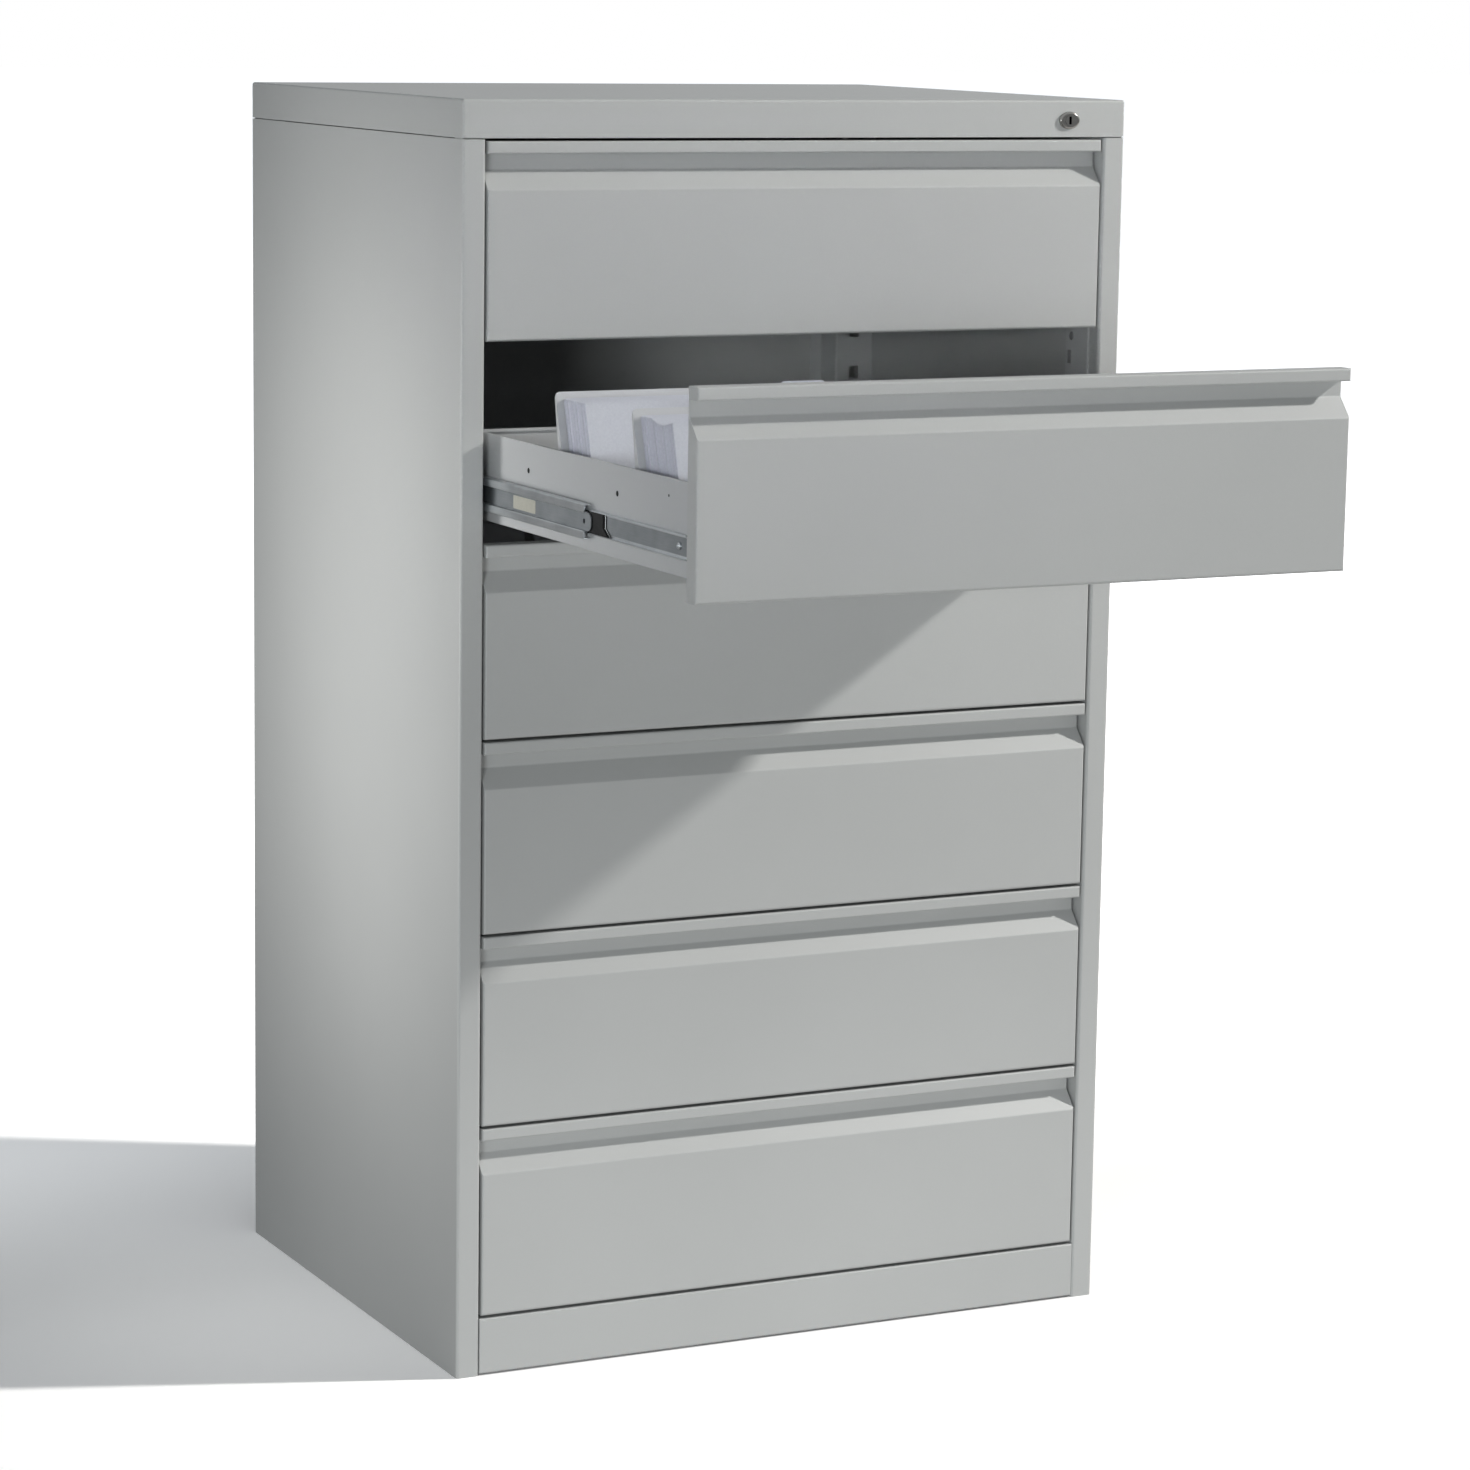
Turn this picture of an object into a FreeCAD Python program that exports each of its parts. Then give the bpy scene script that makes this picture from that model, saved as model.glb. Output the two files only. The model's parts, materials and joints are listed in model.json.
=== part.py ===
import FreeCAD, Part
import math
import os

# Card index cabinet of folded, painted sheet steel with six drawers on three-member ball slides.
# Millimetres. +X to the right, +Y to the rear, +Z up. The origin lies on the floor under the
# middle of the carcass, and the drawer fronts face -Y. The second drawer from the top stands open.

# Carcass
cabinet_width = 787.0
cabinet_depth = 620.0
cabinet_height = 1357.0
carcass_sheet = 1.2
carcass_bend = 3.0
apron_height = 40.0
apron_return = 18.0
panel_seam = 1.0
seam_tongue = 6.0
seam_tongue_play = 0.3
post_width = 26.0
post_return = 20.0
rear_flange = 20.0
plinth_height = 63.0
plinth_floor_gap = 2.0
plinth_seam = 0.8
base_height = 55.0
base_flange = 40.0
base_sheet = 1.5
base_bend = 2.0
back_side_play = 0.3
back_lap = 22.0

# Perforated uprights that carry the slides
front_upright_width = 50.0
front_upright_setback = 2.0
rear_upright_width = 49.0
rear_upright_depth = 40.0
rear_upright_foot = 15.0
perforation_pitch = 50.0
front_perforation_margin = 59.0
rear_perforation_margin = 48.0
square_hole_width = 13.0
square_hole_height = 15.0
slot_width = 8.0
slot_height = 15.0
round_hole_radius = 5.0
round_hole_rise = 23.5
slot_from_rear_edge = 14.0

# Drawer fronts: flat face, slope back to the grip, grip wall and lip
drawer_count = 6
open_drawer = 2
drawer_gap = 3.0
front_depth = 20.0
grip_depth = 18.0
grip_height = 16.5
slope_height = 20.5
lip_height = 13.0
front_sheet = 1.0
face_bend = 3.0
lip_bend = 2.0
front_end_bend = 2.0
lip_seam = 1.5
front_window_margin = 12.0

# Drawer trays
tray_sheet = 1.0
tray_length = 540.0
tray_height = 92.0
tray_raise = 20.0
tray_bend = 1.5
side_hem_width = 2.6
hem_height = 8.0
rear_hem_width = 3.0
rear_hem_height = 3.0
tray_hole_radius = 3.0
tray_hole_drop = 28.0
tray_hole_shares = (0.33, 0.73)
tray_pin_hole_radius = 1.5
tray_pin_hole_drop = 17.0
tray_pin_hole_setback = 61.0
lane_count = 3
divider_sheet = 1.0
divider_height = 70.0
divider_hem = 2.4

# Sliding support plates and the cards that lean on them
plate_sheet = 1.2
plate_height = 154.0
plate_side_gap = 6.0
plate_tilt = 17.0
plate_corner = 5.0
plate_side_fold = 20.0
plate_foot = 48.0
plate_play = 0.3
closed_plate_setback = 390.0
card_side_gap = 13.0
card_height = 148.0
card_play = 0.4
# Lane and distance behind the drawer front of each plate in the open drawer, and its cards' thickness
open_plates = [(-1, 300.0, 53.0), (-1, 116.0, 72.0), (0, 300.0, 40.0), (1, 250.0, 0.0)]

# Ball slides, one pair to a drawer: outer member, middle member, inner member
slide_room = 12.7
slide_sheet = 1.2
slide_bend = 1.0
slide_end_room = 40.0
slide_rise = 50.0
outer_height = 45.7
outer_tip = 3.0
outer_setback = 5.0
middle_height = 35.0
middle_rail = 8.5
middle_recess = 3.4
middle_tip = 2.4
middle_rail_gap = 2.9
middle_setback = 12.0
middle_tongue = 10.0
middle_tongue_corner = 7.0
middle_hole_radius = 2.5
middle_hole_setback = 6.0
middle_shortfall = 20.0
inner_height = 24.4
inner_reach = 5.0
inner_setback = 13.0
cage_length = 170.0
cage_width = 5.0
cage_end_gap = 10.0
ball_play = 0.3
bracket_height = 24.0
bracket_foot = 17.0
slide_screw_head = 3.6
slide_screw_head_height = 2.0
slide_screw_recess_length = 4.4
slide_screw_recess_width = 1.0
slide_screw_recess_depth = 1.2
slide_screw_radius = 1.9
screw_play = 0.1
slide_screw_end_gap = 20.0
slide_screw_count = 3
middle_share = 0.552

# Rubber stops behind the trays
buffer_radius = 6.0
buffer_drop = 22.0
buffer_inset = 6.0
buffer_play = 0.5

# Lock in the apron, lock bar in the right front upright
lock_from_right = 71.0
lock_drop = 22.0
rosette_width = 25.0
rosette_height = 19.0
rosette_thickness = 3.0
rosette_edge = 2.2
barrel_radius = 8.0
barrel_length = 20.0
barrel_play = 0.2
plug_radius = 6.0
plug_play = 0.08
plug_proud = 0.4
keyway_width = 3.0
keyway_height = 8.5
keyway_depth = 6.0
nut_radius = 12.0
nut_thickness = 5.0
cam_gap = 0.5
cam_thickness = 2.5
cam_rim = 4.0
cam_throw = 7.07
cam_rest_angle = 45.0
cam_pin_radius = 2.0
cam_pin_play = 0.7
bar_thickness = 3.0
bar_width = 20.0
bar_web_gap = 3.3
bar_edge_gap = 4.0
arm_gap = 2.0
arm_height = 16.0
arm_overreach = 16.0
tab_reach = 13.0
tab_height = 12.0
tab_setback = 9.0
lock_travel = 10.0
lock_play = 2.0
hook_play = 4.0
hook_thickness = 3.0
hook_reach = 9.0
hook_height = 12.0
hook_drop = 2.0
tab_slot_play = 1.5
guide_height = 14.0
guide_wall = 3.4
guide_play = 0.3
guide_rise = 185.0
guide_drawers = [2, 4, 6]

# Fasteners and levelling screws
rivet_head = 4.0
rivet_radius = 2.2
rivet_tail = 3.4
rivet_tail_length = 2.0
rivet_play = 0.05
rivet_rows = 7
rivet_end_gap = 60.0
level_radius = 5.0
level_length = 40.0
level_play = 0.4
level_nut_radius = 8.5
level_nut_height = 8.0

# Planes and levels that follow from the sizes above
V = FreeCAD.Vector
half_width = cabinet_width / 2
front_plane = -cabinet_depth / 2
rear_plane = cabinet_depth / 2
wall_inside = half_width - carcass_sheet
inner_bend = carcass_bend - carcass_sheet
post_inside = half_width - post_width
apron_bottom = cabinet_height - apron_height
side_top = apron_bottom - panel_seam
top_underside = cabinet_height - carcass_sheet
back_inside = rear_plane - 2 * carcass_sheet
base_front = front_plane + post_return
drawer_pitch = (apron_bottom - plinth_height - drawer_gap) / drawer_count
front_height = drawer_pitch - drawer_gap
front_half = post_inside - drawer_gap
tray_half = post_inside - slide_room
tray_inside = tray_half - tray_sheet
tray_front = front_plane + front_depth
tray_rear = tray_front + tray_length
tray_floor = tray_raise + tray_sheet
tray_top = tray_raise + tray_height
lane_pitch = 2 * tray_inside / lane_count
plate_half = lane_pitch / 2 - plate_side_gap
card_half = lane_pitch / 2 - card_side_gap
rear_upright_face = back_inside - rear_upright_depth
front_upright_front = base_front + front_upright_setback
front_upright_rear = front_upright_front + front_upright_width
slide_length = tray_length - slide_end_room
drawer_open = slide_length
outer_front = tray_front + outer_setback
outer_rear = outer_front + slide_length
middle_front = tray_front + middle_setback
middle_rear = middle_front + slide_length - middle_shortfall
inner_front = tray_front + inner_setback
inner_rear = inner_front + slide_length
lock_x = half_width - lock_from_right
lock_z = cabinet_height - lock_drop
barrel_rear = front_plane + barrel_length
bar_front = front_upright_front + carcass_sheet + bar_edge_gap
bar_left = post_inside + carcass_sheet + bar_web_gap
tab_front = bar_front + tab_setback
hook_front = tab_front + bar_thickness + hook_play
hook_top = tray_top - hook_drop
tab_top = hook_top - hook_height - lock_play
slide_screws = [
    inner_front + slide_screw_end_gap + i * (slide_length - 2 * slide_screw_end_gap) / (slide_screw_count - 1)
    for i in range(slide_screw_count)
]
drawers = range(1, drawer_count + 1)


def front_bottom(number):
    """Height of the lower edge of a drawer front; drawer 1 is the top one."""
    return plinth_height + drawer_gap + (drawer_count - number) * drawer_pitch


def block(x, y, z):
    """Box between two values on each axis."""
    size = [max(side) - min(side) for side in (x, y, z)]
    return Part.makeBox(*size, V(min(x), min(y), min(z)))


def rod(start, direction, length, radius):
    """Round bar from a point along a direction."""
    return Part.makeCylinder(radius, length, start, direction)


def outline(corners, place):
    """Closed wire through (a, b) or (a, b, radius) corners, with place giving each its point in space."""
    corners = [(corner + (0.0,))[:3] for corner in corners]
    points = [V(a, b, 0) for a, b, radius in corners]
    turns = []
    for i, here in enumerate(points):
        back = (points[i - 1] - here).normalize()
        ahead = (points[(i + 1) % len(points)] - here).normalize()
        radius = corners[i][2]
        if radius == 0:
            turns.append((here, None, here))
            continue
        half_angle = back.getAngle(ahead) / 2
        inward = (back + ahead).normalize()
        reach = radius / math.tan(half_angle)
        bulge = here + inward * (radius / math.sin(half_angle) - radius)
        turns.append((here + back * reach, bulge, here + ahead * reach))
    edges = []
    for i, (start, bulge, end) in enumerate(turns):
        if bulge is not None:
            edges.append(Part.Arc(place(start), place(bulge), place(end)).toShape())
        following = turns[(i + 1) % len(turns)][0]
        edges.append(Part.LineSegment(place(end), place(following)).toShape())
    return Part.Wire(edges)


def along_x(corners, start, end):
    """Bar of a (y, z) section."""
    section = outline(corners, lambda p: V(start, p.x, p.y))
    return Part.Face(section).extrude(V(end - start, 0, 0))


def along_y(corners, start, end):
    """Bar of an (x, z) section."""
    section = outline(corners, lambda p: V(p.x, start, p.y))
    return Part.Face(section).extrude(V(0, end - start, 0))


def along_z(corners, start, end):
    """Bar of an (x, y) section."""
    section = outline(corners, lambda p: V(p.x, p.y, start))
    return Part.Face(section).extrude(V(0, 0, end - start))


def joined(shapes):
    """One solid out of overlapping or touching ones."""
    return shapes[0].multiFuse(shapes[1:]).removeSplitter()


def mirrored(shape):
    """The same piece for the left side."""
    return shape.mirror(V(0, 0, 0), V(1, 0, 0))


def moved(shape, x=0.0, y=0.0, z=0.0):
    copy = shape.copy()
    copy.translate(V(x, y, z))
    return copy


def hexagon(centre, direction, radius, length):
    """Six-sided bar along a direction."""
    angles = [math.radians(60 * i) for i in range(6)]
    corners = [(radius * math.cos(angle), radius * math.sin(angle)) for angle in angles]
    bar = along_z(corners, 0, length)
    bar.Placement = FreeCAD.Placement(centre, FreeCAD.Rotation(V(0, 0, 1), direction))
    return bar


def save(node, shapes):
    """Write one node; a group of pieces is written as separate solids."""
    solids = [solid for shape in shapes for solid in shape.Solids]
    whole = solids[0] if len(solids) == 1 else Part.makeCompound(solids)
    whole.exportStep(os.path.join("parts", node + ".step"))


# Heights and places shared by holes and what goes through them
rivet_x = wall_inside - rear_flange / 2
rivet_heights = [
    rivet_end_gap + i * (side_top - 2 * rivet_end_gap) / (rivet_rows - 1) for i in range(rivet_rows)
]
level_places = [
    (side * (wall_inside - base_flange / 2), y)
    for side in (-1, 1)
    for y in (base_front + base_flange / 2, back_inside - base_flange / 2)
]


def side_panel():
    """Right wall: one sheet folded round the front into the post and round the rear into a flange."""
    section = [
        (post_inside, front_plane + post_return),
        (post_inside, front_plane, carcass_bend),
        (half_width, front_plane, carcass_bend),
        (half_width, rear_plane, carcass_bend),
        (half_width - rear_flange, rear_plane),
        (half_width - rear_flange, rear_plane - carcass_sheet),
        (wall_inside, rear_plane - carcass_sheet, inner_bend),
        (wall_inside, front_plane + carcass_sheet, inner_bend),
        (post_inside + carcass_sheet, front_plane + carcass_sheet, inner_bend),
        (post_inside + carcass_sheet, front_plane + post_return),
    ]
    holes = [
        rod(V(rivet_x, back_inside, z), V(0, 1, 0), 3 * carcass_sheet, rivet_head + rivet_play)
        for z in rivet_heights
    ]
    return along_z(section, 0, side_top).cut(Part.makeCompound(holes))


def back_panel():
    """Flat sheet inside the rear flanges, lapped by the top panel's rear apron."""
    half = wall_inside - inner_bend - back_side_play
    sheet = block((-half, half), (back_inside, rear_plane - carcass_sheet), (0, apron_bottom + back_lap))
    holes = [
        rod(V(side * rivet_x, back_inside, z), V(0, 1, 0), carcass_sheet, rivet_radius + rivet_play)
        for side in (-1, 1)
        for z in rivet_heights
    ]
    return sheet.cut(Part.makeCompound(holes))


def rivets():
    """Flush heads in the flanges, shanks through the back panel and tails inside."""
    pieces = []
    for side in (-1, 1):
        for z in rivet_heights:
            at = side * rivet_x
            head = rod(V(at, rear_plane - carcass_sheet, z), V(0, 1, 0), carcass_sheet, rivet_head)
            shank = rod(V(at, back_inside, z), V(0, 1, 0), carcass_sheet, rivet_radius)
            tail = rod(V(at, back_inside - rivet_tail_length, z), V(0, 1, 0), rivet_tail_length, rivet_tail)
            pieces.append(joined([head, shank, tail]))
    return pieces


def top_panel():
    """Inverted pan with an apron all round, a fold under its front and a tongue behind each front seam."""
    outer = block((-half_width, half_width), (front_plane, rear_plane), (apron_bottom, cabinet_height))
    bends = [
        edge for edge in outer.Edges
        if edge.BoundBox.ZLength > apron_height / 2 or edge.BoundBox.ZMin > top_underside
    ]
    outer = outer.makeFillet(carcass_bend, bends)
    hollow = block(
        (-wall_inside, wall_inside),
        (front_plane + carcass_sheet, rear_plane - carcass_sheet),
        (apron_bottom + carcass_sheet, top_underside),
    )
    mouth = block(
        (-wall_inside, wall_inside),
        (front_plane + apron_return, rear_plane - carcass_sheet),
        (apron_bottom - carcass_sheet, apron_bottom + 2 * carcass_sheet),
    )
    lock_hole = rod(V(lock_x, front_plane, lock_z), V(0, 1, 0), carcass_sheet, barrel_radius + barrel_play)
    pan = outer.cut(hollow).cut(mouth).cut(lock_hole)
    tongues = [
        block(
            (side * wall_inside, side * (wall_inside - carcass_sheet)),
            (front_plane + carcass_bend + seam_tongue_play, front_upright_front - seam_tongue_play),
            (apron_bottom - seam_tongue, apron_bottom + seam_tongue),
        )
        for side in (-1, 1)
    ]
    return joined([pan] + tongues)


def base_frame():
    """Ring of C section, open to the inside, that stands on the floor and carries the uprights."""
    ring = block((-wall_inside, wall_inside), (base_front, back_inside), (0, base_height))
    corners = [edge for edge in ring.Edges if edge.BoundBox.ZLength > base_height / 2]
    ring = ring.makeFillet(base_bend, corners)
    window = block(
        (-wall_inside + base_flange, wall_inside - base_flange),
        (base_front + base_flange, back_inside - base_flange),
        (0, base_height),
    )
    hollow = block(
        (-wall_inside + base_sheet, wall_inside - base_sheet),
        (base_front + base_sheet, back_inside - base_sheet),
        (base_sheet, base_height - base_sheet),
    )
    holes = [rod(V(x, y, 0), V(0, 0, 1), base_sheet, level_radius + level_play) for x, y in level_places]
    return ring.cut(window).cut(hollow).cut(Part.makeCompound(holes))


def plinth_panel():
    """Shallow pan between the posts, folded back on all sides to the base frame."""
    half = post_inside - plinth_seam
    pan = block((-half, half), (front_plane, base_front), (plinth_floor_gap, plinth_height))
    bends = [
        edge for edge in pan.Edges
        if edge.BoundBox.YMax < front_plane + carcass_sheet and edge.BoundBox.XLength > half
    ]
    pan = pan.makeFillet(lip_bend, bends)
    hollow = block(
        (-half + carcass_sheet, half - carcass_sheet),
        (front_plane + carcass_sheet, base_front),
        (plinth_floor_gap + carcass_sheet, plinth_height - carcass_sheet),
    )
    return pan.cut(hollow)


def perforation_heights(margin):
    """Lower edges of an upright's holes, with a margin of plain sheet at both ends."""
    count = int((side_top - base_height - 2 * margin) / perforation_pitch) + 1
    return [base_height + margin + i * perforation_pitch for i in range(count)]


def front_upright():
    """Channel behind the post, its perforated web in line with the post's fold."""
    section = [
        (wall_inside, front_upright_front),
        (post_inside, front_upright_front, carcass_bend),
        (post_inside, front_upright_rear, carcass_bend),
        (wall_inside, front_upright_rear),
        (wall_inside, front_upright_rear - carcass_sheet),
        (post_inside + carcass_sheet, front_upright_rear - carcass_sheet, inner_bend),
        (post_inside + carcass_sheet, front_upright_front + carcass_sheet, inner_bend),
        (wall_inside, front_upright_front + carcass_sheet),
    ]
    through = (post_inside - carcass_sheet, post_inside + 2 * carcass_sheet)
    slot_y = front_upright_rear - slot_from_rear_edge
    holes = []
    for z in perforation_heights(front_perforation_margin):
        holes.append(block(through, (slot_y, slot_y + slot_width), (z, z + slot_height)))
        centre = V(through[0], slot_y, z + round_hole_rise + slot_height / 2)
        holes.append(rod(centre, V(1, 0, 0), 3 * carcass_sheet, round_hole_radius))
    return along_z(section, base_height, top_underside).cut(Part.makeCompound(holes))


def lock_upright():
    """The right front upright, with slots for the lock bar's tabs and a window for its arm."""
    through = (post_inside - carcass_sheet, post_inside + 2 * carcass_sheet)
    tab_y = (tab_front - tab_slot_play, tab_front + bar_thickness + tab_slot_play)
    slots = []
    for number in drawers:
        low = front_bottom(number) + tab_top - tab_height - tab_slot_play
        high = front_bottom(number) + tab_top + lock_travel + tab_slot_play
        slots.append(block(through, tab_y, (low, high)))
    arm_y = (bar_front - tab_slot_play / 2, bar_front + bar_thickness + tab_slot_play)
    arm_z = (arm_bottom() - tab_slot_play, arm_bottom() + arm_height + lock_travel + tab_slot_play)
    slots.append(block(through, arm_y, arm_z))
    return front_upright().cut(Part.makeCompound(slots))


def rear_upright():
    """Folded strip in the rear corner: perforated face to the front, side and foot on the back panel."""
    left = wall_inside - rear_upright_width
    section = [
        (wall_inside, rear_upright_face),
        (left, rear_upright_face, carcass_bend),
        (left, back_inside - carcass_sheet),
        (left - rear_upright_foot, back_inside - carcass_sheet),
        (left - rear_upright_foot, back_inside),
        (left + carcass_sheet, back_inside),
        (left + carcass_sheet, rear_upright_face + carcass_sheet, inner_bend),
        (wall_inside, rear_upright_face + carcass_sheet),
    ]
    middle = wall_inside - rear_upright_width / 2
    width = (middle - square_hole_width / 2, middle + square_hole_width / 2)
    through = (rear_upright_face - carcass_sheet, rear_upright_face + 2 * carcass_sheet)
    heights = perforation_heights(rear_perforation_margin)
    holes = [block(width, through, (z, z + square_hole_height)) for z in heights]
    return along_z(section, base_height, top_underside).cut(Part.makeCompound(holes))


def outer_member():
    """Fixed channel of a right-hand slide, with the bracket that reaches the rear upright."""
    half = outer_height / 2
    tip = tray_half + outer_tip
    web = post_inside - slide_sheet
    section = [
        (post_inside, half, slide_bend),
        (tip, half),
        (tip, half - slide_sheet),
        (web, half - slide_sheet),
        (web, -half + slide_sheet),
        (tip, -half + slide_sheet),
        (tip, -half),
        (post_inside, -half, slide_bend),
    ]
    height = (-bracket_height / 2, bracket_height / 2)
    strap = block((web, post_inside), (outer_rear, rear_upright_face), height)
    foot = block(
        (post_inside - bracket_foot, post_inside),
        (rear_upright_face - slide_sheet, rear_upright_face),
        height,
    )
    return joined([along_y(section, outer_front, outer_rear), strap, foot])


def middle_member():
    """Moving channel of a right-hand slide: rails above and below a recessed web with a rounded tongue."""
    half = middle_height / 2
    tip = tray_half + middle_tip
    rail = tray_half + slide_room - middle_rail_gap
    web = rail - middle_recess
    low = half - middle_rail
    upper = [
        (web, low),
        (rail, low, slide_bend),
        (rail, half, slide_bend),
        (tip, half),
        (tip, half - slide_sheet),
        (rail - slide_sheet, half - slide_sheet),
        (rail - slide_sheet, low + slide_sheet),
        (web - slide_sheet, low + slide_sheet),
    ]
    lower = [(corner[0], -corner[1]) + corner[2:] for corner in reversed(upper)]
    member = along_y(upper + lower, middle_front, middle_rear)
    tongue = along_x(
        [
            (middle_front, -low),
            (middle_front - middle_tongue, -low, middle_tongue_corner),
            (middle_front - middle_tongue, low, middle_tongue_corner),
            (middle_front, low),
        ],
        web - slide_sheet,
        web,
    )
    hole_at = V(tray_half, middle_front + middle_hole_setback, 0)
    member = joined([member, tongue]).cut(rod(hole_at, V(1, 0, 0), slide_room, middle_hole_radius))
    rows = [
        (half, outer_height / 2 - slide_sheet - ball_play, middle_rear - cage_end_gap - cage_length),
        (inner_height / 2 + ball_play, half - slide_sheet, middle_front + cage_end_gap),
    ]
    cages = []
    for low_edge, high_edge, start in rows:
        for level in ((low_edge, high_edge), (-high_edge, -low_edge)):
            across = (tray_half + outer_tip, tray_half + outer_tip + cage_width)
            cages.append(block(across, (start, start + cage_length), level))
    return [member] + cages


def screw_recess(top, y):
    """Cross in the head of a slide screw whose top faces +X."""
    depth = (top - slide_screw_recess_depth, top)
    long = slide_screw_recess_length / 2
    short = slide_screw_recess_width / 2
    bars = [block(depth, (y - a, y + a), (-b, b)) for a, b in ((long, short), (short, long))]
    return joined(bars)


def inner_member():
    """Channel on the right side of a tray, with its screws."""
    half = inner_height / 2
    tip = tray_half + inner_reach
    web = tray_half + slide_sheet
    section = [
        (tray_half, half),
        (tip, half, slide_bend),
        (tip, half - slide_sheet),
        (web, half - slide_sheet),
        (web, -half + slide_sheet),
        (tip, -half + slide_sheet),
        (tip, -half, slide_bend),
        (tray_half, -half),
    ]
    member = along_y(section, inner_front, inner_rear)
    screws = []
    for y in slide_screws:
        member = member.cut(rod(V(tray_half, y, 0), V(1, 0, 0), slide_sheet, slide_screw_radius + screw_play))
        shank = rod(V(tray_inside, y, 0), V(1, 0, 0), tray_sheet + slide_sheet, slide_screw_radius)
        head = rod(V(web, y, 0), V(1, 0, 0), slide_screw_head_height, slide_screw_head)
        rim = [edge for edge in head.Edges if edge.BoundBox.XMin > web + slide_screw_head_height / 2]
        head = head.makeFillet(slide_screw_head_height / 2, rim)
        screws.append(joined([shank, head]).cut(screw_recess(web + slide_screw_head_height, y)))
    return [member] + screws


def drawer_front():
    """Hollow folded front: flat face, slope into the full-width grip, and the lip above it."""
    face_top = front_height - lip_height - grip_height - slope_height
    grip_floor = front_height - lip_height - grip_height
    lip_bottom = front_height - lip_height
    grip_wall = front_plane + grip_depth
    skin = along_x(
        [
            (front_plane, 0, face_bend),
            (front_plane, face_top, face_bend),
            (grip_wall, grip_floor, face_bend),
            (grip_wall, lip_bottom),
            (front_plane, lip_bottom, lip_bend),
            (front_plane, front_height, lip_bend),
            (tray_front, front_height),
            (tray_front, 0),
        ],
        -front_half,
        front_half,
    )
    plan = along_z(
        [
            (-front_half, front_plane, front_end_bend),
            (front_half, front_plane, front_end_bend),
            (front_half, tray_front),
            (-front_half, tray_front),
        ],
        0,
        front_height,
    )
    skin = skin.common(plan)
    rear = tray_front - front_sheet
    slope = slope_height / grip_depth
    drop = front_sheet * math.hypot(1, slope)
    lower_hollow = along_x(
        [
            (front_plane + front_sheet, front_sheet),
            (front_plane + front_sheet, face_top + slope * front_sheet - drop),
            (rear, grip_floor + slope * (rear - grip_wall) - drop),
            (rear, front_sheet),
        ],
        -front_half + front_sheet,
        front_half - front_sheet,
    )
    lip_hollow = block(
        (-front_half + front_sheet, front_half - front_sheet),
        (front_plane + front_sheet, rear),
        (lip_bottom + front_sheet, front_height - front_sheet),
    )
    seam = block(
        (-front_half + front_sheet, front_half - front_sheet),
        (rear, tray_front),
        (lip_bottom + front_sheet, lip_bottom + front_sheet + lip_seam),
    )
    window = block(
        (-tray_half + front_window_margin, tray_half - front_window_margin),
        (rear, tray_front),
        (tray_raise + front_window_margin, tray_top - front_window_margin),
    )
    return skin.cut(lower_hollow).cut(lip_hollow).cut(seam).cut(window)


def drawer_tray():
    """Folded tray with hemmed sides and rear and screw holes for the slides, and the hook on its side."""
    outer = block((-tray_half, tray_half), (tray_front, tray_rear), (tray_raise, tray_top))
    bends = [
        edge for edge in outer.Edges
        if edge.BoundBox.ZMax < tray_floor and edge.BoundBox.YLength > tray_length / 2
    ]
    outer = outer.makeFillet(tray_bend, bends)
    inside = (tray_front + tray_sheet, tray_rear - tray_sheet)
    hollow = block((-tray_inside, tray_inside), inside, (tray_floor, tray_top))
    tray = outer.cut(hollow)
    hem_z = (tray_top - hem_height, tray_top)
    hems = [
        block((side * tray_half, side * (tray_half - side_hem_width)), (tray_front, tray_rear), hem_z)
        for side in (-1, 1)
    ]
    rear_z = (tray_top - rear_hem_height, tray_top)
    hems.append(block((-tray_half, tray_half), (tray_rear - rear_hem_width, tray_rear), rear_z))
    hook = block(
        (tray_half, tray_half + hook_reach),
        (hook_front, hook_front + hook_thickness),
        (hook_top - hook_height, hook_top),
    )
    tray = joined([tray] + hems)
    across = V(-tray_half - tray_sheet, 0, 0)
    length = 2 * (tray_half + tray_sheet)
    holes = [
        rod(across + V(0, tray_front + share * tray_length, tray_top - tray_hole_drop),
            V(1, 0, 0), length, tray_hole_radius)
        for share in tray_hole_shares
    ]
    holes.append(
        rod(across + V(0, tray_front + tray_pin_hole_setback, tray_top - tray_pin_hole_drop),
            V(1, 0, 0), length, tray_pin_hole_radius)
    )
    holes += [
        rod(across + V(0, y, slide_rise), V(1, 0, 0), length, slide_screw_radius + screw_play)
        for y in slide_screws
    ]
    return [tray.cut(Part.makeCompound(holes)), hook]


def lane_dividers():
    """Upright sheets with hemmed tops, from the tray's front wall to its rear wall."""
    pieces = []
    top = tray_floor + divider_height
    length = (tray_front + tray_sheet, tray_rear - tray_sheet)
    for i in range(1, lane_count):
        x = -tray_inside + i * lane_pitch
        wall = block((x - divider_sheet / 2, x + divider_sheet / 2), length, (tray_floor, top))
        hem = block((x - divider_hem / 2, x + divider_hem / 2), length, (top - hem_height, top))
        pieces.append(joined([wall, hem]))
    return pieces


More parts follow.
